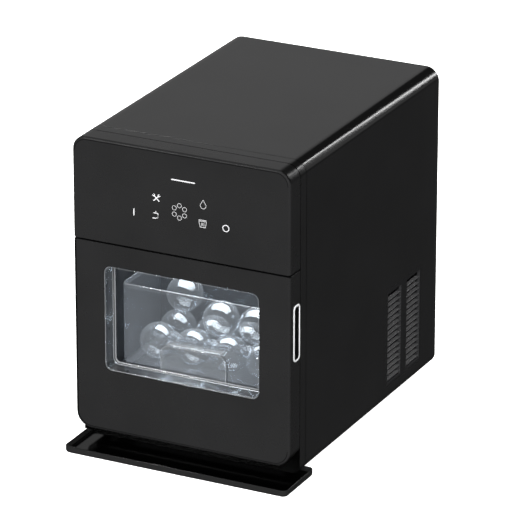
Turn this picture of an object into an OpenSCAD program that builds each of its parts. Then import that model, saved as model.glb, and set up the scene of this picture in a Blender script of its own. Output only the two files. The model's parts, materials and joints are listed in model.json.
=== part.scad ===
// Countertop ice maker with a front door, a clear ice bin and a drip tray.
// Origin: bottom centre of the whole object, on the surface it stands on.
// +Z is up, the front faces -Y, lengths are in millimetres.

/* [Cabinet] */
// Cabinet width
cab_w = 240; // [200:1:300]
// Depth from the door's face to the cabinet's back edge
cab_d = 345; // [300:1:420]
// Cabinet height without the feet
cab_h = 327.5; // [280:0.5:380]
// Radius of the top corners
corner_top = 14.5; // [6:0.5:24]
// Radius of the bottom corners
corner_bottom = 9.6; // [4:0.1:14]
// Wall thickness of the outer skin
wall = 2; // [1.5:0.1:3]
// Height of the feet
foot_h = 8; // [5:0.5:15]

/* [Front] */
// Depth of the door and the control panel
fascia_d = 22; // [18:0.5:30]
// Width of the grooves between the front parts
groove = 0.8; // [0.5:0.1:1.5]
// Height of the seam between the door and the control panel
seam_z = 219.1; // [200:0.1:240]
// Lower edge of the door
door_z0 = 15.5; // [10:0.5:25]
// Radius of the door's lower corners
door_r = 16.5; // [8:0.5:20]
// Half width of the door's window
win_x = 86; // [60:1:95]
// Lower edge of the window
win_z0 = 82.8; // [70:0.1:100]
// Upper edge of the window
win_z1 = 195; // [160:1:205]
// Corner radius of the window
win_r = 8; // [4:0.5:12]

/* [Finger pull] */
// Front edge of the pull's opening
pull_y0 = 8.6; // [6:0.1:10]
// Rear edge of the pull's opening
pull_y1 = 20.4; // [18:0.1:21]
// Lower end of the pull
pull_z0 = 126.4; // [100:0.1:140]
// Upper end of the pull
pull_z1 = 184.1; // [160:0.1:200]
// Corner radius of the pull
pull_r = 4; // [2:0.1:5]
// Depth of the pull's cup
pull_depth = 13; // [8:0.5:16]

/* [Hinge] */
// Distance of the door's pivot from the left side
pivot_in = 10; // [8:0.5:14]
// Distance of the door's pivot from the front face
pivot_y = 12; // [10:0.5:14]
// Radius of the hinge pins
hinge_r = 2.5; // [2:0.1:4]
// Radial clearance of every running fit
run_gap = 0.05; // [0.01:0.01:0.1]

/* [Cavity] */
// Half width of the ice cavity
cav_x = 92; // [80:1:96]
// Cavity floor height
cav_z0 = 74; // [60:1:80]
// Cavity roof height
cav_z1 = 206; // [190:1:212]
// Inner face of the cavity's back wall
cav_y1 = 186; // [160:1:200]
// Thickness of the liner
liner_t = 1.6; // [1:0.1:3]

/* [Ice bin] */
// Half width of the ice bin
bin_x = 87; // [70:1:90]
// Front face of the ice bin
bin_y0 = 37; // [36:1:45]
// Back face of the ice bin
bin_y1 = 129; // [100:1:131]
// Bottom of the ice bin
bin_z0 = 77; // [75:0.5:80]
// Rim of the ice bin
bin_z1 = 163; // [140:1:170]
// Wall of the ice bin
bin_t = 2; // [1.5:0.1:3]
// Radius of one piece of ice
ice_r = 19; // [12:0.5:19]

/* [Trough] */
// Trough pivot, distance from the front face
trough_y = 158; // [150:1:165]
// Trough pivot height
trough_z = 166; // [160:1:172]
// Inner radius of the trough
trough_r = 22; // [18:0.5:24]

/* [Vents] */
// Front edges of the two vent columns
vent_y = [226.5, 272]; // [200:0.5:300]
// Length of one louvre
vent_l = 31.8; // [20:0.1:40]
// Bottom of the vent field
vent_z0 = 20.2; // [10:1:40]
// Distance between two louvres
vent_pitch = 6.3; // [5:0.05:9]
// Number of louvres in a column
vent_n = 16; // [8:1:20]

/* [Tray] */
// Half width of the drip tray
tray_x = 125; // [110:1:130]
// How far the tray stands out in front of the door
tray_out = 18.5; // [10:0.5:30]
// Back edge of the tray
tray_y1 = 46; // [30:1:48]
// Height of the tray's rim above the table
tray_h = 7.5; // [6:0.1:7.6]

/* [Hidden] */
$fn = 48;
half = cab_w / 2;
frame_y0 = fascia_d + groove;
frame_y1 = 35.2;
wrap_y0 = frame_y1 + groove;
pivot_x = -half + pivot_in;
panel_z0 = seam_z + 0.5;
door_z1 = seam_z - 0.5;
skin = 2.5;
back_y = 341;
flange_t = 1.6;
flange_w = 10;
base_edge = 106.5;
base_screw_x = 110.2;
base_top = wall + 1.6;
back_screw_x = 112;
foot_x = 95;
FOOT_Y = [62, 325];
BASE_SCREW_Y = [90, 190, 290];
BACK_SCREW_Z = [22, 165, 300];
bracket_z = 10.4;
bracket_r = 4.5;
catch_x = 104;
catch_z = 100;
window_step = 16.4;
door_screw_x = 60;
DOOR_SCREW_Z = [40, 207];
board_x = 80;
BOARD_Z = [240, 300];
print_t = 0.15;
icon_line = 0.5;
wiring_z0 = 222;
wiring_z1 = 312;
seal_out = 2.4;
seal_in = 4.5;
back_t = 2.4;
handle_x = 38;
handle_z = 111;
handle_y0 = 25;
handle_t = 2;
bearing_x = 86;
cond_x = 88;
fan_y = 265;
fan_z = 71;
vent_y0 = vent_y[0] - 3;
vent_y1 = vent_y[1] + vent_l + 3;
vent_z1 = vent_z0 + vent_n * vent_pitch;
rear = cab_d + 3.5;
comp_x = -46;
comp_y = 272;
divider_y = bin_y1 + 1.3;
divider_z = 158;
trunnion_r = 3;
finger_y = 160;
finger_r = 4.5;
evap_x = 70;
evap_z = 200.5;
evap_r = 4;
tank_x = 88;
tank_y0 = 40;
tank_y1 = 184;
tank_z0 = 30;
tank_t = 2;
tank_floor = tank_z0 + tank_t + 0.05;
float_x = -66;
float_y = 60;
pump_x = 50;
pump_y = 164;
spout_x = 52;
spout_y = 168;
spout_z = 196;
inlet_x = -80;
inlet_z = 40;
drain_x = 50;
drain_z = 36;
drain_r = 4;
grommet_r = 50;
fin_pitch = 4;
pipe_r = 2.6;
ice_pitch = 2 * ice_r + 2;
ice_z = bin_z0 + bin_t + ice_r + 0.3;
BLACK = [0.10, 0.10, 0.10];
DARK = [0.16, 0.16, 0.17];
GREY = [0.42, 0.44, 0.46];
WHITE = [0.92, 0.92, 0.93];
CLEAR = [0.80, 0.86, 0.90, 0.35];
STEEL = [0.72, 0.73, 0.74];
COPPER = [0.75, 0.45, 0.28];
GREEN = [0.10, 0.36, 0.20];

// Everything below is drawn with the front face at y = 0 and the cabinet's underside at z = 0.
module place() {
    translate([0, -(rear - tray_out) / 2, foot_h]) children();
}

// Upright plate along Y whose four corners have their own radii: x0..x1, z0..z1.
module panel(x0, x1, z0, z1, y0, y1, rb, rt) {
    translate([0, y1, 0]) rotate([90, 0, 0]) linear_extrude(y1 - y0) corners(x0, x1, z0, z1, rb, rt);
}

// Rectangle with bottom corners rb and top corners rt.
module corners(x0, x1, z0, z1, rb, rt) {
    difference() {
        translate([x0, z0]) square([x1 - x0, z1 - z0]);
        if (rb > 0) for (s = [0, 1]) {
            translate([s ? x1 : x0, z0]) mirror([s, 0]) spandrel(rb);
        }
        if (rt > 0) for (s = [0, 1]) {
            translate([s ? x1 : x0, z1]) mirror([s, 0]) mirror([0, 1]) spandrel(rt);
        }
    }
}

// What a rounded corner of radius r takes off a square corner at the origin.
module spandrel(r) {
    difference() {
        translate([-1, -1]) square([r + 1, r + 1]);
        translate([r, r]) circle(r);
    }
}

// Flat plate along Z with rounded corners.
module slab(x0, x1, y0, y1, z0, z1, r) {
    translate([0, 0, z0]) linear_extrude(z1 - z0) corners(x0, x1, y0, y1, r, r);
}

module block(x0, x1, y0, y1, z0, z1) {
    translate([x0, y0, z0]) cube([x1 - x0, y1 - y0, z1 - z0]);
}

module rod_x(x0, x1, y, z, r) {
    translate([x0, y, z]) rotate([0, 90, 0]) cylinder(h = x1 - x0, r = r);
}

module rod_y(x, y0, y1, z, r) {
    translate([x, y1, z]) rotate([90, 0, 0]) cylinder(h = y1 - y0, r = r);
}

module rod_z(x, y, z0, z1, r) {
    translate([x, y, z0]) cylinder(h = z1 - z0, r = r);
}

// Cabinet outline, inset by t.
module outline(t) {
    corners(-half + t, half - t, t, cab_h - t, corner_bottom - t, corner_top - t);
}

module ring(y0, y1, t_out, t_in) {
    translate([0, y1, 0]) rotate([90, 0, 0]) linear_extrude(y1 - y0) difference() {
        outline(t_out);
        outline(t_in);
    }
}

// ---------- cabinet ----------

module housing_wrap() place() color(BLACK) difference() {
    union() {
        ring(wrap_y0, cab_d, 0, wall);
        ring(back_y - flange_t, back_y, wall - 0.5, wall + flange_w);
    }
    for (x = [-back_screw_x, back_screw_x], z = BACK_SCREW_Z) rod_y(x, back_y - 8, back_y + 1, z, 1.65);
    for (x = [-base_screw_x, base_screw_x], y = BASE_SCREW_Y) rod_z(x, y, -1, 6, 1.7);
    block(-base_edge, base_edge, wrap_y0 - 1, cab_d + 1, -1, wall + 1);
    for (s = [-1, 1]) mirror([s < 0 ? 1 : 0, 0, 0]) {
        block(half - wall - 1, half + 1, vent_y0, vent_y1, vent_z0 - 3, vent_z1 + 3);
    }
}

module front_frame() place() color(BLACK) {
    difference() {
        panel(-half, half, 0, cab_h, frame_y0, frame_y1, corner_bottom, corner_top);
        block(-cav_x, cav_x, frame_y0 - 1, frame_y1 + 1, cav_z0, cav_z1);
        block(-cav_x, cav_x, frame_y0 - 1, frame_y1 + 1, wiring_z0, wiring_z1);
        difference() {
            panel(-half + 3, half - 3, 3, cab_h - 3, frame_y0 + 3, frame_y1 + 1, 6, 11);
            block(-cav_x - 2.4, cav_x + 2.4, frame_y0, frame_y1 + 2, cav_z0 - 2.4, cav_z1 + 2.4);
        }
        rod_y(catch_x, frame_y0 - 1, frame_y0 + 1.6, catch_z, 4.1);
    }
    difference() {
        ring(frame_y1 - 2, wrap_y0 - 0.02, seal_out, 4);
        block(-base_edge, base_edge, frame_y1 - 3, wrap_y0 + 1, -1, 6);
    }
    difference() {
        block(pivot_x - bracket_r, -half + 17, pivot_y - bracket_r, frame_y0 + 0.5, bracket_z, bracket_z + 4);
        rod_z(pivot_x, pivot_y, 9, 16, hinge_r + 0.02);
    }
}

module base_pan() place() color(STEEL) difference() {
    intersection() {
        block(-half, half, wrap_y0 + 0.6, back_y - flange_t - 0.4, wall, base_top);
        panel(-half + wall + 0.05, half - wall - 0.05, wall, cab_h, wrap_y0, cab_d, corner_bottom - wall, 1);
    }
    for (x = [-foot_x, foot_x], y = FOOT_Y) rod_z(x, y, 0, 6, 2.6);
    for (x = [-base_screw_x, base_screw_x], y = BASE_SCREW_Y) rod_z(x, y, 0, 6, 1.7);
    for (y = [230 : 9 : 302]) block(25, 75, y, y + 4, 0, 6);
}

module back_panel() place() color(BLACK) difference() {
    panel(-half + wall + 0.2, half - wall - 0.2, wall + 0.2, cab_h - wall - 0.2,
        back_y, back_y + back_t, 7.2, 12.2);
    for (x = [-60 : 10 : 60], z = [120, 170]) block(x - 2, x + 2, back_y - 1, back_y + 4, z, z + 40);
    block(inlet_x - 13.8, inlet_x + 13.8, back_y - 1, back_y + 4, inlet_z - 9.8, inlet_z + 9.8);
    rod_y(drain_x, back_y - 1, back_y + 4, drain_z, 2 * drain_r + 0.1);
    for (x = [-back_screw_x, back_screw_x], z = BACK_SCREW_Z) rod_y(x, back_y - 1, back_y + 4, z, 1.7);
}

// Louvre insert of one side, drawn for the right side.
module vent_insert() {
    x0 = half - wall;
    difference() {
        block(x0 - 1, half - 0.1, vent_y0 + 0.1, vent_y1 - 0.1, vent_z0 - 2.9, vent_z1 + 2.9);
        for (y = vent_y) block(x0 - 3, half + 1, y, y + vent_l, vent_z0, vent_z1 - 2);
    }
    for (y = vent_y, i = [0 : vent_n - 2]) {
        translate([half - 2, y - 0.4, vent_z0 + 3.6 + i * vent_pitch]) rotate([0, 35, 0])
            translate([-1.9, 0, -1]) cube([3.6, vent_l + 0.8, 1.8]);
    }
}

module vent_grille_right() place() color(DARK) vent_insert();

module vent_grille_left() place() color(DARK) mirror([1, 0, 0]) vent_insert();

module rubber_feet() place() color(DARK) for (x = [-foot_x, foot_x], y = FOOT_Y) {
    difference() {
        translate([x, y, 0]) rotate_extrude() polygon([
            [0, -foot_h], [9.4, -foot_h], [10.4, 1 - foot_h], [11, -0.5], [11, wall - 0.02], [0, wall - 0.02]
        ]);
        rod_z(x, y, -foot_h - 1, -foot_h + 5.1, 4.2);
        rod_z(x, y, -foot_h, foot_h, 2.6);
    }
}

module foot_screws() place() color(STEEL) for (x = [-foot_x, foot_x], y = FOOT_Y) {
    rod_z(x, y, -foot_h + 3.1, -foot_h + 5, 4);
    rod_z(x, y, -foot_h + 4, wall + 5, 2.5);
}

module base_screws() place() color(STEEL) for (x = [-base_screw_x, base_screw_x], y = BASE_SCREW_Y) {
    rod_z(x, y, base_top + 0.1, base_top + 1.6, 3);
    rod_z(x, y, 0.3, base_top + 0.4, 1.6);
}

module back_screws() place() color(STEEL) for (x = [-back_screw_x, back_screw_x], z = BACK_SCREW_Z) {
    rod_y(x, back_y + back_t + 0.05, back_y + back_t + 1.3, z, 3.2);
    rod_y(x, back_y - 6, back_y + 3, z, 1.6);
}

// ---------- control panel ----------

module control_panel() place() color(BLACK) {
    difference() {
        panel(-half, half, panel_z0, cab_h, 0, fascia_d, 0, corner_top);
        panel(-half + skin, half - skin, panel_z0 + skin, cab_h - skin, skin, fascia_d + 1,
            1, corner_top - skin);
        rod_z(pivot_x, pivot_y, panel_z0 - 1, panel_z0 + 12, hinge_r + 0.02);
    }
    difference() {
        panel(-half + seal_out, half - seal_out, panel_z0 + seal_out, cab_h - seal_out,
            fascia_d - 2, frame_y0 - 0.02, 1, corner_top - seal_out);
        panel(-half + seal_in, half - seal_in, panel_z0 + seal_in, cab_h - seal_in,
            fascia_d - 3, frame_y0 + 1, 1, corner_top - seal_in);
    }
    difference() {
        rod_z(pivot_x, pivot_y, panel_z0 + 1, panel_z0 + 9, 6);
        rod_z(pivot_x, pivot_y, panel_z0 - 1, panel_z0 + 12, hinge_r + 0.02);
    }
    for (x = [-board_x, board_x], z = BOARD_Z) difference() {
        rod_y(x, 2, 9, z, 4);
        rod_y(x, 4, 10, z, 1.6);
    }
}

module control_board() place() color(GREEN) difference() {
    block(-88, 88, 9.05, 10.65, 232, 308);
    for (x = [-board_x, board_x], z = BOARD_Z) rod_y(x, 8, 12, z, 1.65);
}

// A printed shape on the front face, given in x and z.
module print() place() color(WHITE) rotate([90, 0, 0]) linear_extrude(print_t) children();

module icon_power_on() print() translate([-51.5, 257.7]) {
    square([1.1, 7.4], center = true);
}

module icon_power_off() print() translate([50, 257.8]) difference() {
    circle(3.7);
    circle(2.9);
}

module icon_clean() print() translate([-26.4, 276.4]) for (a = [45, -45]) rotate(a) {
    difference() {
        union() {
            square([1, 9], center = true);
            translate([0, 4.1]) circle(1.4);
        }
        translate([0, 5]) square([1, 2.2], center = true);
    }
}

module icon_rinse() print() translate([-26.4, 258.3]) {
    translate([-3.4, 1.8]) square([5.4, 1]);
    translate([-1.2, 2.6]) square([0.9, 1.9]);
    translate([1.2, 0.6]) square([0.9, 1.8]);
    translate([-4.4, -3.8]) polygon([[0, 0], [3, 0], [6.4, 1.4], [6, 1.9], [3.6, 1.2], [1, 1.4], [0, 1]]);
    for (z = [-0.4, -1.4]) translate([1.6, z]) circle(0.35);
}

module icon_ice_ring() print() translate([-1, 266.4]) for (a = [0 : 60 : 300]) {
    rotate(a + 30) translate([6.5, 0]) difference() {
        circle(2.5);
        circle(2.5 - icon_line);
    }
}

module icon_add_water() print() translate([25.2, 277.2]) difference() {
    drop(3.4);
    drop(3.4 - icon_line);
}

module drop(r) {
    circle(r);
    polygon([[-r * 0.94, r * 0.34], [0, r * 1.9], [r * 0.94, r * 0.34]]);
}

module icon_bin_full() print() translate([24.6, 258.5]) {
    difference() {
        polygon([[-4.5, 2.6], [4.5, 2.6], [3.2, -4.2], [-3.2, -4.2]]);
        polygon([[-3.9, 2], [3.9, 2], [2.7, -3.6], [-2.7, -3.6]]);
    }
    for (x = [-1.4, 0, 1.4]) translate([x, -0.9]) square([icon_line, 3.4], center = true);
    translate([-4.5, 3.2]) square([9, 0.6]);
}

module panel_mark() print() translate([3.2, 299]) square([26, 1.2], center = true);

// ---------- door ----------

// Door outline: square top, rounded bottom.
module door_body(t, y0, y1) {
    panel(-half + t, half - t, door_z0 + t, door_z1 - t, y0, y1, door_r - t, 0);
}

// Takes the hinge side's back corner down to an arc about the pivot.
module hinge_relief() {
    difference() {
        block(-half - 1, pivot_x, pivot_y, fascia_d + 1, door_z0 - 1, door_z1 + 1);
        rod_z(pivot_x, pivot_y, door_z0 - 2, door_z1 + 2, pivot_in);
    }
}

module window_prism(t, y0, y1) {
    panel(-win_x - t, win_x + t, win_z0 - t, win_z1 + t, y0, y1, win_r + t, win_r + t);
}

module hinge_bores() {
    rod_z(pivot_x, pivot_y, door_z0 - 2, 31, hinge_r + run_gap);
    rod_z(pivot_x, pivot_y, 205, door_z1 + 2, hinge_r + run_gap);
}

module door_shell() place() color(BLACK) difference() {
    union() {
        difference() {
            door_body(0, 0, fascia_d);
            difference() {
                door_body(skin, skin, fascia_d + 1);
                window_prism(skin, 0, fascia_d + 2);
                rod_z(pivot_x, pivot_y, door_z0, 36, 6);
                rod_z(pivot_x, pivot_y, 198, door_z1, 6);
                difference() {
                    block(-half - 1, pivot_x + 3, pivot_y, fascia_d + 2, door_z0 - 1, door_z1 + 1);
                    rod_z(pivot_x, pivot_y, door_z0 - 2, door_z1 + 2, pivot_in - skin);
                }
            }
        }
        for (x = [-door_screw_x, door_screw_x], z = DOOR_SCREW_Z) rod_y(x, 1, 19, z, 3.5);
    }
    hinge_relief();
    hinge_bores();
    window_prism(0, -1, window_step);
    window_prism(1.2, window_step - 0.1, fascia_d + 1);
    pull_prism(0, half - 4, half + 2);
    for (x = [-door_screw_x, door_screw_x], z = DOOR_SCREW_Z) rod_y(x, 8, 20, z, 1.5);
}

// Outline of the finger pull in the door's right side, grown by t, from x0 to x1.
module pull_prism(t, x0, x1) {
    translate([x0, 0, 0]) rotate([90, 0, 90]) linear_extrude(x1 - x0)
        corners(pull_y0 - t, pull_y1 + t, pull_z0 - t, pull_z1 + t, pull_r + t, pull_r + t);
}

module door_liner() place() color(GREY) difference() {
    door_body(skin + 0.1, 19.05, fascia_d);
    window_prism(skin + 0.1, 18, fascia_d + 2);
    block(-half, pivot_x + 3.1, 18, fascia_d + 1, 0, cab_h);
    block(half - pull_depth - 2.5, half, 18, pull_y1 + 0.1, pull_z0 - 3.4, pull_z1 + 3);
    rod_y(catch_x, fascia_d - 1.6, fascia_d + 1, catch_z, 4.1);
    for (x = [-door_screw_x, door_screw_x], z = DOOR_SCREW_Z) {
        rod_y(x, 18, 24, z, 1.6);
        rod_y(x, 20.6, 24, z, 3.2);
    }
}

module door_window() place() color(CLEAR) window_prism(1.1, window_step + 0.05, window_step + 2.2);

module window_bezel() place() color(DARK) difference() {
    window_prism(1.1, window_step + 2.25, fascia_d);
    window_prism(-0.8, 18, fascia_d + 1);
}

module door_gasket() place() color(DARK) difference() {
    window_prism(9, fascia_d + 0.02, fascia_d + 0.45);
    window_prism(4.5, fascia_d - 1, fascia_d + 1);
}

module door_screws() place() color(STEEL) for (x = [-door_screw_x, door_screw_x], z = DOOR_SCREW_Z) {
    rod_y(x, 20.65, 21.8, z, 3.1);
    rod_y(x, 9, 21, z, 1.45);
}

module door_magnet() place() color(STEEL) rod_y(catch_x, fascia_d - 1.55, fascia_d + 0.1, catch_z, 4);

module catch_plate() place() color(STEEL) rod_y(catch_x, frame_y0 + 0.05, frame_y0 + 1.5, catch_z, 4);

module pull_cup() place() color(BLACK) difference() {
    pull_prism(-0.1, half - pull_depth, half);
    pull_prism(-1.3, half - pull_depth + 1.2, half + 1);
}

module pull_trim() place() color(STEEL) difference() {
    pull_prism(1, half + 0.02, half + 0.62);
    pull_prism(-1, half - 1, half + 2);
}

module hinge_pins() place() color(STEEL) {
    rod_z(pivot_x, pivot_y, bracket_z - 1, 30, hinge_r);
    rod_z(pivot_x, pivot_y, bracket_z - 2.4, bracket_z - 0.1, 4);
    rod_z(pivot_x, pivot_y, 206, panel_z0 + 9.5, hinge_r);
    rod_z(pivot_x, pivot_y, panel_z0 + 9.1, panel_z0 + 10.5, 4);
}

// ---------- ice cavity ----------

module cavity_liner() place() color(GREY) difference() {
    block(-cav_x - liner_t, cav_x + liner_t, wrap_y0, cav_y1 + liner_t, cav_z0 - liner_t, cav_z1 + liner_t);
    difference() {
        block(-cav_x, cav_x, wrap_y0 - 1, cav_y1, cav_z0, cav_z1);
        for (x = [-84, 77]) block(x, x + 7, 40, divider_y, cav_z0 - 1, bin_z0 - 0.3);
        block(-cav_x - 1, cav_x + 1, divider_y, divider_y + liner_t, cav_z0 - 1, divider_z);
    }
    slab(-84, 84, divider_y + 3, 182, cav_z0 - 5, cav_z0 + 1, 6);
    for (x = [-60 : 20 : 60]) block(x - 6, x + 6, 118, 124, cav_z0 - 5, cav_z0 + 1);
    rod_x(-cav_x - 5, -cav_x + 1, trough_y, trough_z, trunnion_r + run_gap);
    rod_x(cav_x - 1, cav_x + 5, trough_y, trough_z, trunnion_r + run_gap);
    for (x = [-evap_x, evap_x]) rod_y(x, cav_y1 - 1, cav_y1 + 5, evap_z, evap_r + 1);
    rod_y(spout_x, cav_y1 - 1, cav_y1 + 5, spout_z, 4.6);
}

module insulation() place() color(WHITE) difference() {
    block(-112, 112, 38, 206, cav_z0 - 1, 219);
    block(-cav_x - 1.8, cav_x + 1.8, 30, cav_y1 + 1.8, cav_z0 - 3, cav_z1 + 1.8);
    block(90, 114, 136, 180, 146, 186);
    rod_x(-98, -90, trough_y, trough_z, 5);
    for (x = [-evap_x, evap_x]) rod_y(x, 180, 210, evap_z, evap_r + 1);
    rod_y(spout_x, 180, 210, spout_z, 4.6);
}

module water_tank() place() color(DARK) difference() {
    slab(-tank_x, tank_x, tank_y0, tank_y1, tank_z0, cav_z0 - liner_t - 0.05, 8);
    slab(-tank_x + tank_t, tank_x - tank_t, tank_y0 + tank_t, tank_y1 - tank_t,
        tank_z0 + tank_t, cav_z0 + 5, 6);
    rod_y(drain_x, tank_y1 - 3, tank_y1 + 6, drain_z, drain_r + 0.05);
}

module float_stem() place() color(WHITE) {
    rod_z(float_x, float_y, tank_floor, 67, 3);
    rod_z(float_x, float_y, tank_floor, tank_floor + 2, 7);
    rod_z(float_x, float_y, 66, 68, 5);
}

module water_float() place() color(WHITE) difference() {
    rod_z(float_x, float_y, 36, 50, 11);
    rod_z(float_x, float_y, 30, 60, 3.08);
}

module water_pump() place() color(BLACK) {
    rod_z(pump_x, pump_y, 34, 58, 13);
    rod_z(pump_x, pump_y, tank_floor, 34.5, 15);
    rod_z(pump_x, pump_y, 57, 64, 4);
}

module evaporator() place() color(COPPER) {
    rod_x(-evap_x, evap_x, finger_y, evap_z, evap_r);
    for (x = [-evap_x, evap_x]) {
        translate([x, finger_y, evap_z]) sphere(evap_r);
        rod_y(x, finger_y, 214, evap_z, evap_r);
    }
}

module ice_fingers() place() color(STEEL) for (x = [-60 : 15 : 60]) {
    difference() {
        union() {
            rod_z(x, finger_y, 158, 197, finger_r);
            translate([x, finger_y, 158]) sphere(finger_r);
        }
        rod_x(-80, 80, finger_y, evap_z, evap_r + 0.02);
    }
}

module trough() place() color(DARK) {
    difference() {
        rod_x(-74, 74, trough_y, trough_z, trough_r + 1.6);
        rod_x(-72, 72, trough_y, trough_z, trough_r);
        block(-80, 80, trough_y - 40, trough_y + 40, trough_z, trough_z + 40);
    }
    for (s = [-1, 1]) mirror([s < 0 ? 1 : 0, 0, 0]) {
        rod_x(72.5, bearing_x - 0.4, trough_y, trough_z, 5);
        rod_x(85, cav_x + 1.4, trough_y, trough_z, trunnion_r);
    }
}

module trough_bearings() place() color(WHITE) for (s = [-1, 1]) mirror([s < 0 ? 1 : 0, 0, 0]) difference() {
    rod_x(bearing_x, cav_x - 0.02, trough_y, trough_z, 8);
    rod_x(80, cav_x + 1, trough_y, trough_z, trunnion_r + run_gap);
}

module trough_motor() place() color(STEEL) {
    rod_x(cav_x + 1.9, 110, trough_y, trough_z, 17);
    block(cav_x + 1.9, 104, trough_y - 5, trough_y + 5, trough_z - 19.5, trough_z - 10);
}

module ice_full_sensor() place() color(BLACK) for (s = [-1, 1]) mirror([s < 0 ? 1 : 0, 0, 0]) {
    block(88.6, cav_x - 0.02, 70, 84, 170, 180);
    rod_x(87.4, 89, 77, 175, 2.6);
}

module water_outlet() place() color(WHITE) difference() {
    union() {
        rod_y(spout_x, spout_y, 212, spout_z, 4.5);
        translate([spout_x, spout_y, spout_z]) sphere(4.5);
        rod_z(spout_x, spout_y, spout_z - 6, spout_z, 4.5);
    }
    rod_z(spout_x, spout_y, spout_z - 8, spout_z + 1, 3);
    rod_y(spout_x, spout_y, 213, spout_z, 3);
}

// ---------- ice bin ----------

module ice_bin() place() color(CLEAR) {
    difference() {
        slab(-bin_x, bin_x, bin_y0, bin_y1, bin_z0, bin_z1, 7);
        slab(-bin_x + bin_t, bin_x - bin_t, bin_y0 + bin_t, bin_y1 - bin_t, bin_z0 + bin_t, bin_z1 + 1, 5);
    }
    difference() {
        panel(-handle_x, handle_x, bin_z0, handle_z, handle_y0, bin_y0 + 1, 0, 10);
        panel(-handle_x + handle_t, handle_x - handle_t, bin_z0 - 1, handle_z - handle_t,
            handle_y0 + handle_t, bin_y0 + 2, 0, 10 - handle_t);
    }
}

// Ice lies in rows of touching pieces: first x, y, height above the lowest layer, number of pieces.
ICE_ROWS = [[-57, 59, 0, 4], [-55, 99, 0, 4], [4, 79, 27, 2], [-46, 97, 39, 1]];

module ice_balls() place() color(WHITE) for (row = ICE_ROWS, i = [0 : row[3] - 1]) {
    translate([row[0] + i * ice_pitch, row[1], ice_z + row[2]]) sphere(ice_r);
}

// ---------- cooling ----------

module compressor() place() color(BLACK) {
    translate([comp_x, comp_y, 0]) rotate_extrude() polygon([
        [0, 14], [30, 14], [40, 20], [44, 30], [44, 70], [46, 70], [46, 74], [44, 74],
        [44, 104], [40, 116], [30, 124], [14, 128], [0, 128]
    ]);
    for (a = [45, 135, 225, 315]) translate([comp_x, comp_y, 0]) rotate(a) difference() {
        block(36, 58, -9, 9, 16, 19);
        rod_z(grommet_r, 0, 10, 30, 5.1);
    }
}

module compressor_grommets() place() color(DARK) for (a = [45, 135, 225, 315]) {
    translate([comp_x, comp_y, 0]) rotate(a) {
        rod_z(grommet_r, 0, base_top + 0.1, 15.9, 8);
        rod_z(grommet_r, 0, 15, 22, 5);
    }
}

module condenser() place() color(STEEL) {
    for (y = [226 : fin_pitch : 306]) block(cond_x, cond_x + 22, y, y + 0.8, 22, 120);
    for (z = [30 : 16 : 110]) rod_y(cond_x + 11, 222, 311, z, 3.5);
    for (y = [220.5, 310.5]) block(cond_x, cond_x + 22, y, y + 1.5, base_top + 0.05, 122);
}

module fan_shroud() place() color(BLACK) {
    difference() {
        block(74, 87.8, fan_y - 44, fan_y + 44, fan_z - 48, fan_z + 50);
        rod_x(70, 90, fan_y, fan_z, 41);
    }
    for (y = [fan_y - 40, fan_y + 34]) block(76, 86, y, y + 6, base_top + 0.05, fan_z - 47);
    difference() {
        union() {
            rod_x(66, 71, fan_y, fan_z, 14);
            for (a = [0 : 90 : 270]) translate([66, fan_y, fan_z]) rotate([a, 0, 0]) {
                block(0, 4, 0, 43.5, -3, 3);
                block(0, 9, 41.5, 43.5, -3, 3);
            }
        }
        rod_x(60, 72.5, fan_y, fan_z, 11.02);
    }
}

module fan_motor() place() color(STEEL) {
    rod_x(48, 71, fan_y, fan_z, 11);
    rod_x(71, 84, fan_y, fan_z, 1.5);
}

module condenser_fan() place() color(BLACK) difference() {
    union() {
        rod_x(75, 86, fan_y, fan_z, 12);
        for (a = [0 : 72 : 288]) translate([80.5, fan_y, fan_z]) rotate([a, 0, 0])
            translate([0, 0, 11]) rotate([0, 0, 32]) block(-0.8, 0.8, -7.5, 7.5, 0, 27.5);
    }
    rod_x(70, 84.5, fan_y, fan_z, 1.5 + run_gap);
}

// A straight length of pipe between two points.
module pipe(a, b, r) {
    v = b - a;
    n = norm(v);
    translate(a) rotate([0, acos(v[2] / n), atan2(v[1], v[0])]) cylinder(h = n, r = r);
}

module run(points, r) {
    for (i = [0 : len(points) - 2]) pipe(points[i], points[i + 1], r);
    for (q = points) translate(q) sphere(r * 1.12);
}

module refrigerant_pipes() place() color(COPPER) {
    run([[comp_x, comp_y, 131], [comp_x, comp_y, 150], [99, comp_y, 150], [99, 318, 150], [99, 318, 110],
        [99, 315, 110]], pipe_r);
    run([[-evap_x, 217, evap_z], [-evap_x, 232, evap_z], [-92, 232, 190], [-92, 232, 60],
        [-82, 240.5, 60]], pipe_r);
    run([[99, 217.4, 30], [99, 215, 30], [99, 215, 134]], pipe_r);
    run([[99, 215, 164], [99, 215, 190], [evap_x, 226, evap_z], [evap_x, 217, evap_z]], 2);
    rod_z(99, 215, 134, 164, 7.5);
}

module power_board() place() color(GREEN) {
    block(-60, 60, 328, 329.6, 226, 300);
    block(-50, -20, 300, 328, 236, 262);
    rod_y(20, 304, 328, 250, 9);
    block(-40, 30, 314, 328, 276, 292);
}

module power_inlet() place() color(BLACK) difference() {
    union() {
        block(inlet_x - 13.6, inlet_x + 13.6, 322, back_y + 3, inlet_z - 9.6, inlet_z + 9.6);
        block(inlet_x - 18, inlet_x + 18, back_y + 2.42, back_y + 4, inlet_z - 14, inlet_z + 14);
    }
    block(inlet_x - 12, inlet_x + 12, 326, back_y + 5, inlet_z - 8, inlet_z + 8);
}

module inlet_pins() place() color(STEEL) for (p = [[-7, -2], [0, 2], [7, -2]]) {
    translate([inlet_x + p[0], 0, inlet_z + p[1]]) block(-1, 1, 326.02, 338, -2, 2);
}

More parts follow.
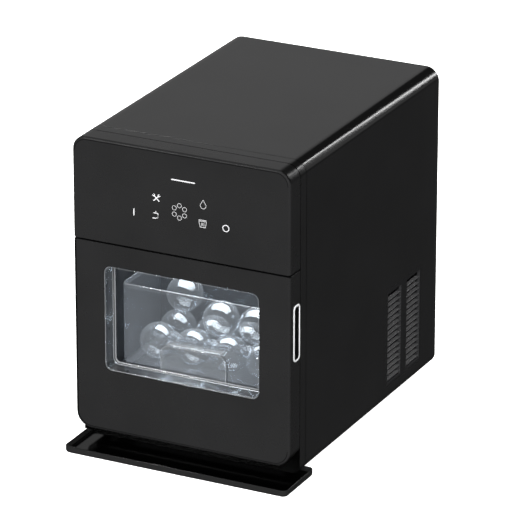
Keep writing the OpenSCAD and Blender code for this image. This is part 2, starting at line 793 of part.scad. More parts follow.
module drain_spout() place() color(BLACK) difference() {
    union() {
        rod_y(drain_x, tank_y1 + 0.1, back_y, drain_z, drain_r + 2);
        rod_y(drain_x, back_y - 6, back_y + 3, drain_z, 2 * drain_r);
        rod_y(drain_x, back_y + 2.42, back_y + 4, drain_z, 11);
    }
    rod_y(drain_x, tank_y1 - 4, back_y + 5, drain_z, drain_r);
}

module drain_plug() place() color(GREY) {
    rod_y(drain_x, back_y - 20, back_y + 5, drain_z, drain_r - run_gap);
    rod_y(drain_x, back_y + 4.3, rear, drain_z, 9);
}

// ---------- drip tray ----------

module drip_tray() place() color(BLACK) difference() {
    slab(-tray_x, tray_x, -tray_out, tray_y1, -foot_h, -foot_h + tray_h, 6);
    slab(-tray_x + 2, tray_x - 2, -tray_out + 2, tray_y1 - 2, -foot_h + 2, 5, 4);
}

housing_wrap();
front_frame();
base_pan();
back_panel();
vent_grille_right();
vent_grille_left();
rubber_feet();
foot_screws();
base_screws();
back_screws();
control_panel();
control_board();
icon_power_on();
icon_power_off();
icon_clean();
icon_rinse();
icon_ice_ring();
icon_add_water();
icon_bin_full();
panel_mark();
door_shell();
door_liner();
door_window();
window_bezel();
door_gasket();
door_screws();
door_magnet();
catch_plate();
pull_cup();
pull_trim();
hinge_pins();
cavity_liner();
insulation();
water_tank();
float_stem();
water_float();
water_pump();
evaporator();
ice_fingers();
trough();
trough_bearings();
trough_motor();
ice_full_sensor();
water_outlet();
ice_bin();
ice_balls();
compressor();
compressor_grommets();
condenser();
fan_shroud();
fan_motor();
condenser_fan();
refrigerant_pipes();
power_board();
power_inlet();
inlet_pins();
drain_spout();
drain_plug();
drip_tray();
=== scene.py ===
"""Looks of the countertop ice maker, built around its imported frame. Metres, +Z up, the door faces -Y."""

import json
import math
import random

import bmesh
import bpy
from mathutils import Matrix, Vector


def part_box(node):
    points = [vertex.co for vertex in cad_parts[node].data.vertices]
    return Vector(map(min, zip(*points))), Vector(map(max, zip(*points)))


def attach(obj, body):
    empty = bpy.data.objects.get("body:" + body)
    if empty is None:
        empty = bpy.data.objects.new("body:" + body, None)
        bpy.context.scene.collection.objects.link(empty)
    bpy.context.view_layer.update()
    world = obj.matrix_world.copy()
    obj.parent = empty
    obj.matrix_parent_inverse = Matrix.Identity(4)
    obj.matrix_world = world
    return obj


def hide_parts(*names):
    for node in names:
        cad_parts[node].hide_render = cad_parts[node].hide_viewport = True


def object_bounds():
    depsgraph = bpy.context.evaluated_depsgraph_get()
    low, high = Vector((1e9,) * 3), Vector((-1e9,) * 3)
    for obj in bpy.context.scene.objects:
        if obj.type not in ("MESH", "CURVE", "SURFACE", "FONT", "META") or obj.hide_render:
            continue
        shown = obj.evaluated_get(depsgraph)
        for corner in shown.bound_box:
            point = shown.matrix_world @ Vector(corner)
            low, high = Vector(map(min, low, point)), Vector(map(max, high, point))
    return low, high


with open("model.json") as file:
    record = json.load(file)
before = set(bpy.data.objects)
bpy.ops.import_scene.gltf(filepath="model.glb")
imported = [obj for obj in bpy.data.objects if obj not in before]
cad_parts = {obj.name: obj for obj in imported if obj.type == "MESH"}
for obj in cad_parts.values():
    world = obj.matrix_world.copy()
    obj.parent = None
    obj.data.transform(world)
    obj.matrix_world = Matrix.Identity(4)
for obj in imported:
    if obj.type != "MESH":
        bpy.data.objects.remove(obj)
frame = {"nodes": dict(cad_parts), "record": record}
cad_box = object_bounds()

MM = 0.001
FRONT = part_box("control_panel")[0].y
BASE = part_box("front_frame")[0].z


def at(x, y, z):
    """A point given in millimetres: x from the middle, y back from the front face, z up from the base."""
    return Vector((x * MM, FRONT + y * MM, BASE + z * MM))


def mm_box(node):
    """A CAD node's (x0, x1, y0, y1, z0, z1) in the millimetres that at() takes."""
    lo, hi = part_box(node)
    x0, x1 = lo.x / MM, hi.x / MM
    y0, y1 = (lo.y - FRONT) / MM, (hi.y - FRONT) / MM
    z0, z1 = (lo.z - BASE) / MM, (hi.z - BASE) / MM
    return x0, x1, y0, y1, z0, z1


# The cabinet's half width and height, the two front pieces' limits, and the hinge axis, from the frame.
CAB_X = mm_box("front_frame")[1]
CAB_TOP = mm_box("front_frame")[5]
PANEL_Z0 = mm_box("control_panel")[4]
DOOR_BACK, DOOR_Z0, DOOR_Z1 = mm_box("door_shell")[3:]
PIN_X0, PIN_X1, PIN_Y0, PIN_Y1 = mm_box("hinge_pins")[:4]
HINGE_X, HINGE_Y = (PIN_X0 + PIN_X1) / 2, (PIN_Y0 + PIN_Y1) / 2

HINGE_R = 10  # the arc about the hinge axis that the door's left edge follows
TOP_R = 14.5  # the panel's upper corners
DOOR_R = 16.5  # the door's lower corners
SEAM_R = 1.2  # the corners that meet at the seam between the panel and the door
EDGE_R = 2.5  # the round edge of the front face
LINE = 0.6  # the painted shade of a dark line beside that edge, on the flat face
WINDOW_R = 8  # the window opening's corners
WINDOW_FLANGE = 1.1  # the window's flange reaches this far past the opening
FLANGE_Y = 16.4  # the depth of the step that the flange rests against
RING_W = 2  # the metal ring of the finger pull

# ---------- materials ----------

MATERIALS = {}  # by the names given here, to which Blender may add a number


class Graph:
    """A new material's nodes, with short calls for the few that the materials share."""

    def __init__(self, name, **values):
        """values are plain numbers for the shader's own inputs, named with _ for each space."""
        self.material = MATERIALS[name] = bpy.data.materials.new(name)
        self.material.use_nodes = True
        self.nodes = self.material.node_tree.nodes
        self.links = self.material.node_tree.links
        self.shader = self.nodes["Principled BSDF"]
        for key, value in values.items():
            self.shader.inputs[key.replace("_", " ")].default_value = value
        self.coords = self.nodes.new("ShaderNodeTexCoord").outputs["Object"]

    def feed(self, socket, output):
        """Links an output to one of the shader's inputs."""
        self.links.new(output, self.shader.inputs[socket])

    def maths(self, operation, *values):
        """The result of a Math node, whose values are numbers or outputs."""
        node = self.nodes.new("ShaderNodeMath")
        node.operation = operation
        for socket, value in enumerate(values):
            if isinstance(value, (int, float)):
                node.inputs[socket].default_value = value
            else:
                self.links.new(value, node.inputs[socket])
        return node.outputs["Value"]

    def facing(self, *axes):
        """How far the surface looks along an axis, -1 to 1, or the size of the product for two axes."""
        split = self.nodes.new("ShaderNodeSeparateXYZ")
        self.links.new(self.nodes.new("ShaderNodeNewGeometry").outputs["Normal"], split.inputs["Vector"])
        if len(axes) == 1:
            return split.outputs[axes[0]]
        return self.maths("ABSOLUTE", self.maths("MULTIPLY", *(split.outputs[axis] for axis in axes)))

    def noise(self, scale, detail=3.0, stretch=None):
        """Noise in the piece's own coordinates; stretch multiplies them along x, y and z."""
        node = self.nodes.new("ShaderNodeTexNoise")
        node.inputs["Scale"].default_value = scale
        node.inputs["Detail"].default_value = detail
        source = self.coords
        if stretch:
            mapping = self.nodes.new("ShaderNodeMapping")
            mapping.inputs["Scale"].default_value = stretch
            self.links.new(source, mapping.inputs["Vector"])
            source = mapping.outputs["Vector"]
        self.links.new(source, node.inputs["Vector"])
        return node.outputs["Fac"]

    def ramp(self, factor, low, high, start=0.35, end=0.65):
        """Spreads a factor from start..end to two values or two colours."""
        if isinstance(low, float):
            node = self.nodes.new("ShaderNodeMapRange")
            for key, value in (("From Min", start), ("From Max", end), ("To Min", low), ("To Max", high)):
                node.inputs[key].default_value = value
            self.links.new(factor, node.inputs["Value"])
            return node.outputs["Result"]
        node = self.nodes.new("ShaderNodeValToRGB")
        for stop, place, colour in zip(node.color_ramp.elements, (start, end), (low, high)):
            stop.position = place
            stop.color = (*colour, 1)
        self.links.new(factor, node.inputs["Fac"])
        return node.outputs["Color"]

    def scaled(self, colour, share):
        """A colour output multiplied by a share output."""
        node = self.nodes.new("ShaderNodeVectorMath")
        node.operation = "SCALE"
        self.links.new(colour, node.inputs[0])
        self.links.new(share, node.inputs["Scale"])
        return node.outputs["Vector"]

    def bump(self, *layers):
        """layers are (factor, strength, height in metres), coarse first."""
        last = None
        for factor, strength, height in layers:
            node = self.nodes.new("ShaderNodeBump")
            node.inputs["Strength"].default_value = strength
            node.inputs["Distance"].default_value = height
            self.links.new(factor, node.inputs["Height"])
            if last:
                self.links.new(last, node.inputs["Normal"])
            last = node.outputs["Normal"]
        self.feed("Normal", last)

    def moulded_surface(self, rough, grain):
        """Cloudy gloss and a fine spark-eroded grain."""
        self.feed("Roughness", self.ramp(self.noise(40, 6), rough * 0.9, rough * 1.1, 0.2, 0.8))
        self.bump((self.noise(2600, 2), grain, 0.00008))


def tint(colour, share):
    """A colour multiplied by a share, at most 1 in each channel."""
    return tuple(min(1.0, channel * share) for channel in colour)


def moulded(name, colour, rough, grain=0.05, spec=0.5, spread=0.12, forward=1.0, sides=1.0, rounds=1.0):
    """Moulded plastic, with a faint drift of colour.

    Some faces keep only a share of the colour, as painted shade that follows the way they look in the world:
    forward for those that look forward, such as the walls of the seams, sides for those that look right or
    left, and rounds for the round long edges, where it is the dark band beside the highlight.
    """
    g = Graph(name, Specular_IOR_Level=spec)
    shade = g.ramp(g.noise(14, 4), tint(colour, 1 - spread), tint(colour, 1 + spread), 0.2, 0.8)
    # painted shade: the colour dims on faces by their direction in the world
    shares = (("Y", forward, -0.9, -0.5), ("XX", sides, 0.9, 0.64), ("XZ", rounds, 0.3, 0.08))
    for axes, kept, start, end in shares:
        if kept < 1:
            shade = g.scaled(shade, g.ramp(g.facing(*axes), kept, 1.0, start, end))
    g.feed("Base Color", shade)
    g.moulded_surface(rough, grain)


def shaded_floor_plastic(name, floor, sides, rough):
    """Black plastic whose level faces are painted near black as shade and whose upright ones are greyer."""
    g = Graph(name)
    g.feed("Base Color", g.ramp(g.facing("Z"), (sides,) * 3, (floor,) * 3, 0.2, 0.7))
    g.moulded_surface(rough, 0.01)


def brushed(name, colour, rough, metal=1.0, stretch=(1, 1, 40), scale=90):
    """Drawn or brushed metal: streaks in gloss and height, and a cloudy colour."""
    g = Graph(name, Metallic=metal)
    streaks = g.noise(scale, 6, stretch)
    g.feed("Base Color", g.ramp(g.noise(25, 4), tint(colour, 0.86), tint(colour, 1.05)))
    g.feed("Roughness", g.ramp(streaks, rough * 0.75, rough * 1.3))
    g.bump((streaks, 0.12, 0.0001))


def clear(name, colour, least, rough, waves, metal=1.0, steepness=3.0, inner=1.0):
    """A clear surface: a mirror that shows more the more steeply it is seen, with flow waves and rub marks.

    least is how much of it shows where it is seen square on, and inner is the share that shows from behind.
    """
    g = Graph(name, Metallic=metal)
    g.shader.inputs["Base Color"].default_value = (*colour, 1)
    g.feed("Roughness", g.ramp(g.noise(120, 5), rough * 0.6, rough * 1.8))
    g.bump((g.noise(22, 2), waves, 0.001), (g.noise(300, 3), waves * 0.3, 0.0001))
    slant = g.nodes.new("ShaderNodeLayerWeight")
    slant.inputs["Blend"].default_value = 0.5
    alpha = g.ramp(g.maths("POWER", slant.outputs["Facing"], steepness), least, 1.0, 0.0, 1.0)
    if inner < 1:
        behind = g.nodes.new("ShaderNodeNewGeometry").outputs["Backfacing"]
        alpha = g.maths("MULTIPLY", alpha, g.ramp(behind, 1.0, inner, 0.0, 1.0))
    g.feed("Alpha", alpha)


def foam_material(name):
    """Blown foam: pale cells in colour and height."""
    g = Graph(name, Roughness=0.95)
    cells = g.noise(700, 2)
    g.feed("Base Color", g.ramp(cells, (0.74, 0.70, 0.56), (0.88, 0.85, 0.74)))
    g.bump((cells, 0.4, 0.0006))


def board_material(name):
    """Lacquered circuit board: two greens, for the places with and without copper under the lacquer."""
    g = Graph(name, Roughness=0.3, Coat_Weight=0.4)
    tracks = g.noise(160, 0, (1, 1, 0.2))
    g.feed("Base Color", g.ramp(tracks, (0.015, 0.09, 0.04), (0.03, 0.19, 0.09), 0.49, 0.51))
    g.bump((tracks, 0.1, 0.0001))


# Black mouldings of the outside. The forward, sides and rounds shares of moulded are painted shade.
moulded("cabinet_black", (0.0108, 0.0108, 0.0110), rough=0.16, grain=0.03, forward=0.05, rounds=0.2)
moulded("front_black", (0.0116, 0.0116, 0.0118), rough=0.28, grain=0.02, rounds=0.2)
moulded("frame_edge", (0.0108, 0.0108, 0.0110), rough=0.20, grain=0.02, forward=0.05, rounds=0.2)
# near black painted shade, for the seams, the finger pull's cup and the dark lines beside round edges
moulded("painted_shade_black", (0.0020, 0.0020, 0.0021), rough=0.40, spec=0.2)
moulded("vent_plastic", (0.023, 0.023, 0.024), rough=0.42, sides=0.47)
# painted shade: the tray's level faces near black, its upright faces greyer
shaded_floor_plastic("tray_black", floor=0.0003, sides=0.0115, rough=0.12)

# Printed symbols and bright trim.
moulded("panel_ink", (0.50, 0.50, 0.51), rough=0.45, grain=0.02, spread=0.02)
moulded("panel_ink_fine", (0.38, 0.38, 0.385), rough=0.45, grain=0.02, spread=0.04)
brushed("chrome_trim", (0.90, 0.91, 0.92), rough=0.18, metal=0.25, scale=60)

# Clear pieces: the bin, the window, their rims and corners, and the ice. clear_rim_highlight adds a painted
# highlight to the lamp reflections, and clear_shade is painted shade.
clear("clear_plastic", (0.84, 0.91, 1.0), least=0.072, rough=0.04, waves=0.008, metal=0.62, steepness=4.5)
clear("window_clear", (0.90, 0.95, 1.0), least=0.025, rough=0.02, waves=0.005, steepness=4.5)
clear("clear_rim_highlight", (0.94, 0.97, 1.0), least=0.30, rough=0.08, waves=0.01, metal=0.5)
clear("clear_edge", (0.90, 0.94, 0.97), least=0.10, rough=0.03, waves=0.01, metal=0.8)
clear("clear_shade", (0.05, 0.055, 0.06), least=0.55, rough=0.2, waves=0.01, metal=0.0)
clear("ice", (0.86, 0.93, 1.0), least=0.15, rough=0.06, waves=0.03, metal=0.80, steepness=2.7, inner=0.3)

# The inside.
moulded("liner_grey", (0.0112, 0.0127, 0.0150), rough=0.40, grain=0.02, spread=0.06)
moulded("dark_plastic", (0.022, 0.022, 0.023), rough=0.42)
moulded("white_plastic", (0.72, 0.72, 0.70), rough=0.38, spread=0.04)
moulded("compressor_black", (0.012, 0.012, 0.013), rough=0.28, grain=0.12)
moulded("rubber_black", (0.020, 0.020, 0.020), rough=0.78, grain=0.25, spec=0.3)
brushed("zinc_steel", (0.56, 0.57, 0.58), rough=0.34, stretch=(30, 1, 1))
brushed("tinned_copper", (0.70, 0.70, 0.69), rough=0.22)
brushed("copper_pipe", (0.76, 0.40, 0.24), rough=0.26)
brushed("aluminium_fins", (0.80, 0.81, 0.82), rough=0.30)
board_material("circuit_green")
foam_material("foam")

SLOTS = {part["node"]: part["material_slot"] for part in frame["record"]["subparts"]}

# ---------- meshes ----------

SHARP_ANGLE = 34  # edges that turn by more degrees than this stay sharp


def to_object(name, bm, sharp=SHARP_ANGLE):
    """Turns a bmesh into a smoothly shaded object, and frees it."""
    bmesh.ops.remove_doubles(bm, verts=bm.verts, dist=2e-7)
    bmesh.ops.recalc_face_normals(bm, faces=bm.faces)
    mesh = bpy.data.meshes.new(name)
    bm.to_mesh(mesh)
    bm.free()
    mesh.shade_smooth()
    mesh.set_sharp_from_angle(angle=math.radians(sharp))
    obj = bpy.data.objects.new(name, mesh)
    bpy.context.scene.collection.objects.link(obj)
    return obj


def corners(x0, x1, z0, z1, lower_r, upper_r=None, steps=8):
    """A rounded rectangle's outline, with steps + 1 points a corner."""
    upper_r = lower_r if upper_r is None else upper_r
    points = []
    for cx, cz, r, start in (
        (x1 - lower_r, z0 + lower_r, lower_r, -90),
        (x1 - upper_r, z1 - upper_r, upper_r, 0),
        (x0 + upper_r, z1 - upper_r, upper_r, 90),
        (x0 + lower_r, z0 + lower_r, lower_r, 180),
    ):
        for i in range(steps + 1):
            a = math.radians(start + 90 * i / steps)
            points.append((cx + r * math.cos(a), cz + r * math.sin(a)))
    return points


def upright(outline, y):
    """An outline in x and z, set at y."""
    return [(x, y, z) for x, z in outline]


def level(outline, z):
    """An outline in x and y, set at z."""
    return [(x, y, z) for x, y in outline]


def sideways(outline, x):
    """An outline in y and z, set at x."""
    return [(x, y, z) for y, z in outline]


def rounding(r, steps=5):
    """(inset, depth) steps of a rounded edge of radius r, from the side wall to the face."""
    turns = [math.radians(90 * i / steps) for i in range(steps + 1)]
    return [(r - r * math.cos(a), r - r * math.sin(a)) for a in turns]


def loft(name, loops, closed=False, sharp=SHARP_ANGLE, caps="first last", trim=(), materials=()):
    """Skins a row of loops that have the same number of points. An open row gets the end faces in caps.

    The faces between loop k and the next one get the second of the materials for each k in trim.
    """
    bm = bmesh.new()
    rows = [[bm.verts.new(at(*point)) for point in loop] for loop in loops]
    pairs = list(zip(rows, rows[1:]))
    if closed:
        pairs.append((rows[-1], rows[0]))
    for k, (a, b) in enumerate(pairs):
        for i in range(len(a)):
            j = (i + 1) % len(a)
            bm.faces.new((a[i], a[j], b[j], b[i])).material_index = int(k in trim)
    if not closed and "first" in caps:
        bm.faces.new(rows[0])
    if not closed and "last" in caps:
        bm.faces.new(rows[-1][::-1])
    obj = to_object(name, bm, sharp)
    for key in materials:
        obj.data.materials.append(MATERIALS[key])
    return obj


def cut(obj, tool):
    """Takes the tool out of obj, and removes the tool from the scene."""
    modifier = obj.modifiers.new("cut", "BOOLEAN")
    modifier.operation = "DIFFERENCE"
    modifier.solver = "EXACT"
    modifier.object = tool
    graph = bpy.context.evaluated_depsgraph_get()
    mesh = bpy.data.meshes.new_from_object(obj.evaluated_get(graph))
    obj.modifiers.clear()
    obj.data = mesh
    bpy.data.objects.remove(tool)
    mesh.shade_smooth()
    mesh.set_sharp_from_angle(angle=math.radians(SHARP_ANGLE))
    return obj


def even_normals(obj):
    """Makes flat faces shade flat beside the rounded ones."""
    modifier = obj.modifiers.new("even", "WEIGHTED_NORMAL")
    modifier.keep_sharp = True
    modifier.weight = 80
    return obj


def soft_edges(obj, width):
    """Rounds the sharp edges of a piece by width in millimetres."""
    modifier = obj.modifiers.new("edges", "BEVEL")
    modifier.width = width * MM
    modifier.segments = 2
    modifier.limit_method = "ANGLE"
    modifier.angle_limit = math.radians(SHARP_ANGLE)
    modifier.miter_outer = "MITER_ARC"
    modifier.use_clamp_overlap = True
    even_normals(obj)


def blacken(obj, black):
    """Gives the second material, a painted shade, to the faces for which black(old index, centre, normal) is
    true.
    """
    for face in obj.data.polygons:
        face.material_index = int(black(face.material_index, face.center, face.normal))


def piece(obj, body, slot, *nodes, look=None):
    """Puts a finished piece on its body, in place of CAD nodes.

    A piece without materials of its own gets the one called look, or else its slot's.
    """
    if not obj.data.materials:
        obj.data.materials.append(MATERIALS[look or slot])
    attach(obj, body)
    if nodes:
        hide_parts(*nodes)


# ---------- front ----------

# the front's plastic, and the near black painted shade for its dark lines and seam faces
FRONT_AND_LINE = ("front_black", "painted_shade_black")
FACE_EDGE = [(EDGE_R + LINE, 0)] + rounding(EDGE_R)[::-1]  # (inset, depth) from the flat face to the sides
SEAM_SHARE = 0.2  # an inset is only this share as deep at the seam
CORNER_SHARE = 0.6  # and takes this share of itself off a large corner's radius


def panel_outline(t):
    """The control panel's outline, inset by t."""
    large_r = TOP_R - t * CORNER_SHARE
    return corners(-CAB_X + t, CAB_X - t, PANEL_Z0 + t * SEAM_SHARE, CAB_TOP - t, SEAM_R, large_r)


def control_panel_skin():
    """The panel's face and sides. Its underside and the line round its upper corners are painted dark as
    shade.
    """
    loops = [upright(panel_outline(0.15), DOOR_BACK), upright(panel_outline(0), DOOR_BACK - 0.15)]
    loops += [upright(panel_outline(t), y) for t, y in FACE_EDGE[::-1]]
    skin = even_normals(loft("control_panel_skin", loops, trim={len(loops) - 2}, materials=FRONT_AND_LINE))
    line_reach = 22
    line_end = at(0, 0, CAB_TOP - line_reach).z
    # painted shade: the underside in the seam and the dark line round the upper corners
    blacken(skin, lambda line, place, normal: (line and place.z > line_end) or normal.z < -0.3)
    piece(skin, "cabinet", "front_black", "control_panel")


def control_panel_lip():
    """The lip behind the panel, in the seam between it and the frame, painted near black as the seam's shade.
    """
    depth = mm_box("control_panel")[3]

    def ring(t, upper_r):
        return corners(-CAB_X + t, CAB_X - t, PANEL_Z0 + t, CAB_TOP - t, 1, upper_r)

    outside, inside = ring(2.4, 12.1), ring(4.5, 10)
    loops = [upright(outside, DOOR_BACK), upright(outside, depth)]
    loops += [upright(inside, depth), upright(inside, DOOR_BACK)]
    piece(loft("control_panel_lip", loops, closed=True), "cabinet", "dark_plastic", look="painted_shade_black")


def door_outline(t, y):
    """The door's outline, inset by t, at depth y. Its hinge edge stays inside an arc about the hinge axis."""
    large_r = DOOR_R - t * CORNER_SHARE
    points = corners(-CAB_X + t, CAB_X - t, DOOR_Z0 + t, DOOR_Z1 - t * SEAM_SHARE, large_r, SEAM_R)
    reach = HINGE_R
    if y > HINGE_Y:
        reach = math.sqrt(max(0.01, HINGE_R**2 - (y - HINGE_Y) ** 2))
    left = HINGE_X - reach
    return [(max(x, left), z) for x, z in points]


def window_outline(t):
    """The window opening's outline, grown by t."""
    x0, x1, _, _, z0, z1 = mm_box("door_window")
    grow = t - WINDOW_FLANGE
    return corners(x0 - grow, x1 + grow, z0 - grow, z1 + grow, WINDOW_R + t)


def pull_outline(t):
    """The finger pull's outline, in y and z, grown by t."""
    y0, y1, z0, z1 = mm_box("pull_trim")[2:]
    grow = t - RING_W
    return corners(y0 - grow, y1 + grow, z0 - grow, z1 + grow, 3.0 + t * 0.8)


def door_skin():
    """The door's face, its round edges, its arc at the hinge and the walls of its window opening.

    The line round its lower corners, its left edge and its top edge, in the seam, are painted dark as shade.
    """
    face = [upright(door_outline(t, y), y) for t, y in FACE_EDGE]
    arc = [HINGE_Y + HINGE_R * math.sin(math.radians(a)) for a in range(0, 90, 12)]
    back = [upright(door_outline(0, y), y) for y in arc]
    back.append(upright(door_outline(0.15, DOOR_BACK), DOOR_BACK))
    opening = [(1.2, DOOR_BACK), (1.2, FLANGE_Y), (0, FLANGE_Y), (0, 0.8), (0.25, 0.25), (0.8, 0)]
    inner = [upright(window_outline(t), y) for t, y in opening]
    skin = loft("door_skin", face + back + inner, closed=True, trim={0}, materials=FRONT_AND_LINE)
    hole = loft("hole", [sideways(pull_outline(0.9), CAB_X + x) for x in (-13.1, 3)])
    even_normals(cut(skin, hole))

    line_reach, seam_depth, edge_width = 24, 1.4, 8
    line_end, top = at(0, 0, DOOR_Z0 + line_reach).z, at(0, 0, DOOR_Z1 - seam_depth).z
    left = at(edge_width - CAB_X, EDGE_R, 0)

    # painted shade: the dark line low and at the left, the left edge, and the top in the seam
    def in_shade(line, place, normal):
        if line:
            return place.z < line_end or place.x < left.x
        if normal.x < -0.1:
            return place.x < left.x and place.y < left.y
        return normal.z > 0.3 and place.z > top

    blacken(skin, in_shade)
    piece(skin, "door", "front_black", "door_shell")


def finger_pull():
    """The cup in the door's right side, painted near black as the shade in it, and the bright ring round it.
    """
    cup_depth = 11.8
    cup = [(0.8, 12.9), (0.8, -0.1), (-0.3, -0.1), (-0.3, 0.4), (-0.5, cup_depth - 1.2), (-1.6, cup_depth)]
    recess = loft("pull_recess", [sideways(pull_outline(t), CAB_X - depth) for t, depth in cup])
    piece(even_normals(recess), "door", "dark_plastic", "pull_cup", look="painted_shade_black")

    half = [(RING_W, 0.0), (RING_W, 0.30), (1.75, 0.52), (1.3, 0.62)]
    ring = half + [(RING_W - t, height) for t, height in half[::-1]]
    trim = loft("pull_ring", [sideways(pull_outline(t), CAB_X + height) for t, height in ring], closed=True)
    piece(even_normals(trim), "door", "chrome_trim", "pull_trim")


def window_tub():
    """The clear tub pressed into the door's opening: walls, a rounded floor and a flush front rim.

    One band of the rim and two of the floor's round edge are bright, partly from lamp reflections and partly
    from a painted highlight in their whiter, less clear material.
    """
    depth = mm_box("door_window")[3]
    flange = [(1.05, depth), (1.05, FLANGE_Y + 0.1)]
    outside = [(-0.06, FLANGE_Y + 0.05), (-0.06, 0.9), (0.15, 0.45), (0.0, 0.2)]
    rim = [(-0.5, 0.12), (-1.0, 0.3), (-1.3, 0.9)]
    floor = [(-1.5, 14.6), (-1.8, 15.7), (-2.6, 16.5), (-3.7, 16.8)]
    loops = [upright(window_outline(t), y) for t, y in flange + outside + rim + floor]
    looks = ("window_clear", "clear_rim_highlight")
    tub = loft("window_tub", loops, sharp=60, caps="last", trim={6, 9, 11}, materials=looks)
    piece(even_normals(tub), "door", "clear_plastic", "door_window")


# ---------- ice ----------

HANDLE_X = 38  # half the handle's width
HANDLE_H = 34  # its height
HANDLE_R = 10  # its upper corners
HANDLE_D = 12  # how far it stands out in front of the bin's wall


def bin_body():
    """The bin's outside and its lip as one open skin, bright where it rounds, partly from lamp reflections
    and partly from a painted highlight in a whiter, less clear material.
    """
    x0, x1, y0, y1, z0, z1 = mm_box("ice_bin")
    wall, front = 2.0, y0 + HANDLE_D

    def ring(t, z):
        return level(corners(x0 + t, x1 - t, front + t, y1 - t, max(1.5, 7 - t)), z)

    base = [(3, z0), (1.2, z0 + 0.8), (0.3, z0 + 2.2), (0, z0 + 4)]
    lip = [(0, z1 - 1.2), (0.12, z1 - 0.5), (0.4, z1 - 0.12), (0.9, z1)]
    inside = [(wall - 0.6, z1 - 0.08), (wall, z1 - 0.6), (wall, z1 - 5)]
    loops = [ring(t, z) for t, z in base + lip + inside]
    looks = ("clear_plastic", "clear_rim_highlight")
    body = loft("ice_bin_clear", loops, sharp=50, caps="first", trim={5, 6}, materials=looks)
    piece(even_normals(body), "bin", "clear_plastic", "ice_bin")


def bin_handle():
    """The arched hood on the bin's front, bright along its round edge from lamp reflections and a painted
    highlight, with painted shade at its corners.
    """
    y0, _, z0, _ = mm_box("ice_bin")[2:]

    def arch(t, y):
        return upright(corners(-HANDLE_X + t, HANDLE_X - t, z0, z0 + HANDLE_H - t, 0.4, HANDLE_R - t), y)

    loops = [arch(0, y0 + HANDLE_D + 0.1)] + [arch(t, y0 + y) for t, y in rounding(2)]
    looks = ("clear_edge", "clear_rim_highlight", "clear_shade")
    hood = loft("ice_bin_hood", loops, caps="last", trim={1, 5}, materials=looks)
    # painted shade: dark clear faces on the corners of the round edge
    for face in hood.data.polygons:
        if abs(face.normal.x) > 0.25 and abs(face.normal.y) > 0.15:
            face.material_index = looks.index("clear_shade")
    piece(even_normals(hood), "bin", "clear_plastic")


def ice_pieces():
    """Balls of ice in rows, each slightly uneven."""
    rng = random.Random(7)
    radius, pitch = 19.0, 40.0
    floor = mm_box("ice_balls")[4] + radius
    # Each row's first x, its y, its height above the lowest rows, and how many balls it has.
    rows = ((-57, 59, 0, 4), (-55, 99, 0, 4), (4, 79, 27, 2), (-46, 97, 39, 1))
    bm = bmesh.new()
    for x, y, rise, count in rows:
        for i in range(count):
            ball = bmesh.ops.create_icosphere(bm, subdivisions=5, radius=1)["verts"]
            phase = [rng.uniform(0, 6.28) for _ in range(3)]
            centre = at(x + i * pitch, y, floor + rise)
            for v in ball:
                n = v.co.normalized()
                sines = [math.sin(3 * n[k] + phase[k]) for k in range(3)]
                waves = [sines[k] * math.cos(2 * n[k - 1] + phase[k - 2]) for k in range(3)]
                v.co = centre + n * (radius - 0.12 + 0.04 * sum(waves)) * MM
    piece(to_object("ice_pieces", bm, sharp=180), "bin", "ice", "ice_balls")


# ---------- tray ----------


def tray():
    """The drip tray: a shallow dish with a rounded rim and bottom edge."""
    x0, x1, y0, y1, z0, z1 = mm_box("drip_tray")

    def ring(t, z):
        return level(corners(x0 + t, x1 - t, y0 + t, y1 - t, max(0.8, 6 - t)), z)

    bottom_edge = [(2.2, z0), (1.2, z0 + 0.3), (0.4, z0 + 1.2), (0, z0 + 2.2)]
    rim = [(0, z1 - 0.5), (0.2, z1 - 0.15), (0.6, z1), (1.5, z1), (1.9, z1 - 0.4)]
    inside = [(2.2, z0 + 3.6), (2.8, z0 + 2.4), (4.2, z0 + 2)]
    dish = loft("drip_tray_moulding", [ring(t, z) for t, z in bottom_edge + rim + inside], sharp=50)
    piece(even_normals(dish), "tray", "tray_black", "drip_tray")


# ---------- the rest of the frame ----------

# Rounds on sharp edges, in millimetres, where they differ from the usual one.
USUAL_EDGE = 0.2
EDGES = {
    "housing_wrap": 0.12, "front_frame": 0.12, "vent_grille_right": 0.25, "vent_grille_left": 0.25,
    "base_pan": 0.3, "back_panel": 0.4, "power_inlet": 0.5, "trough": 0.5, "fan_shroud": 0.5,
    "cavity_liner": 0.6, "water_tank": 0.6, "drain_plug": 0.8, "compressor": 1.2, "insulation": 1.5,
}

# Nodes that look different from the other nodes in their material slot.
LOOKS = {
    "front_frame": "frame_edge", "vent_grille_right": "vent_plastic", "vent_grille_left": "vent_plastic",
    "icon_ice_ring": "panel_ink_fine", "icon_add_water": "panel_ink_fine", "icon_bin_full": "panel_ink_fine",
    "icon_rinse": "panel_ink_fine",
}


def dress(node, obj):
    """Gives a CAD node its material, and small rounds on its sharp edges unless it is printed or replaced."""
    obj.data.materials.clear()
    obj.data.materials.append(MATERIALS[LOOKS.get(node, SLOTS[node])])
    if SLOTS[node] == "panel_ink" or obj.hide_render:
        return
    weld = obj.modifiers.new("weld", "WELD")
    weld.merge_threshold = 1e-6
    soft_edges(obj, EDGES.get(node, USUAL_EDGE))


# ---------- stage, lights and camera ----------


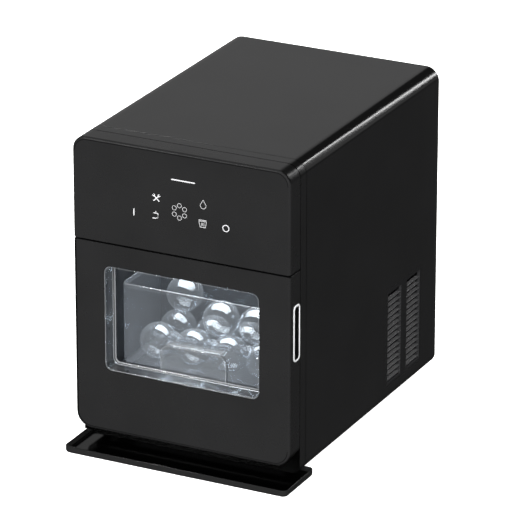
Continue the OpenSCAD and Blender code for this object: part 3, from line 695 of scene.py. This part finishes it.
def paper_floor():
    """A glowing white floor that lights nothing and shows in no mirror."""
    bm = bmesh.new()
    bmesh.ops.create_grid(bm, x_segments=4, y_segments=4, size=14)
    floor = to_object("floor", bm)
    floor.location.z = cad_box[0][2] - 0.2 * MM
    g = Graph("floor_paper", Roughness=0.9, Specular_IOR_Level=0.1, Emission_Strength=0.88)
    g.feed("Base Color", g.ramp(g.noise(3, 2), (0.90, 0.90, 0.90), (0.93, 0.93, 0.93)))
    g.shader.inputs["Emission Color"].default_value = (1, 1, 1, 1)
    floor.data.materials.append(g.material)
    floor.visible_glossy = False
    floor.visible_diffuse = False
    floor.visible_transmission = False


def dim_world():
    """A faint even light from everywhere."""
    world = bpy.data.worlds.new("studio")
    world.use_nodes = True
    world.node_tree.nodes["Background"].inputs["Color"].default_value = (1, 1, 1, 1)
    world.node_tree.nodes["Background"].inputs["Strength"].default_value = 0.03
    bpy.context.scene.world = world


def aim(obj, place, target):
    """Puts a light in the scene, pointed at its target."""
    obj.location = place
    obj.rotation_euler = (Vector(target) - Vector(place)).to_track_quat("-Z", "Y").to_euler()
    bpy.context.scene.collection.objects.link(obj)


def sun(name, place, strength, spread):
    """A far soft light that shows in no mirror, with its spread in degrees."""
    data = bpy.data.lights.new(name, "SUN")
    data.energy = strength
    data.angle = math.radians(spread)
    obj = bpy.data.objects.new(name, data)
    obj.visible_glossy = False
    obj.visible_transmission = False
    aim(obj, place, (0, 0, 0))


def lamp(name, place, target, width, height, power, colour=(1, 1, 1), spread=180):
    """A soft box, which shows in mirrors but not to the camera."""
    data = bpy.data.lights.new(name, "AREA")
    data.shape = "RECTANGLE"
    data.size, data.size_y = width, height
    data.energy = power
    data.color = colour
    data.spread = math.radians(spread)
    obj = bpy.data.objects.new(name, data)
    obj.visible_camera = False
    aim(obj, place, target)


def lights():
    """A soft key from the front right, two fills, and soft boxes for the streaks, the bin and a glint."""
    sun("key", (3.35, -8.6, 4.7), 9.1, 64)
    sun("left_fill", (-2.2, 0.4, 0.7), 3.0, 20)
    sun("rear_fill", (0.15, 2.8, 0.5), 3.6, 30)
    lamp("top_sheen", (-1.6, 2.15, 1.0), (0, 0, 0.33), 2.2, 1.9, 3.5)
    lamp("edge_strip", (0.95, 1.9, 0.95), (0.1, 0, 0.33), 0.10, 0.8, 4)
    lamp("edge_glow", (1.3, 1.9, 0.62), (0.1, 0, 0.3), 0.35, 0.9, 0.35)
    lamp("cavity_light", at(-1, 90, 203), at(-1, 84, 100), 0.172, 0.08, 0.25, (0.93, 0.97, 1.0), 130)
    lamp("glint", (-0.84, -1.6, 1.0), (0, -0.16, 0.14), 0.10, 0.10, 2.0)


def camera():
    """The studio camera: a long lens, to the right of the front and above it."""
    azimuth, elevation, distance = math.radians(26.677), math.radians(21.5), 4.5192
    target = Vector((-0.00245, 0.00465, 0.16803))
    reach = math.cos(elevation)
    away = Vector((math.sin(azimuth) * reach, -math.cos(azimuth) * reach, math.sin(elevation)))
    data = bpy.data.cameras.new("camera")
    data.lens, data.sensor_width = 312.04, 36
    data.clip_start, data.clip_end = 0.1, 100
    obj = bpy.data.objects.new("camera", data)
    obj.location = target + away * distance
    obj.rotation_euler = away.to_track_quat("Z", "Y").to_euler()
    bpy.context.scene.collection.objects.link(obj)
    bpy.context.scene.camera = obj


camera()
bpy.context.scene.view_settings.view_transform = "Standard"
control_panel_skin()
control_panel_lip()
door_skin()
finger_pull()
window_tub()
bin_body()
bin_handle()
ice_pieces()
tray()
for node_name, node_object in frame["nodes"].items():
    dress(node_name, node_object)
paper_floor()
dim_world()
lights()
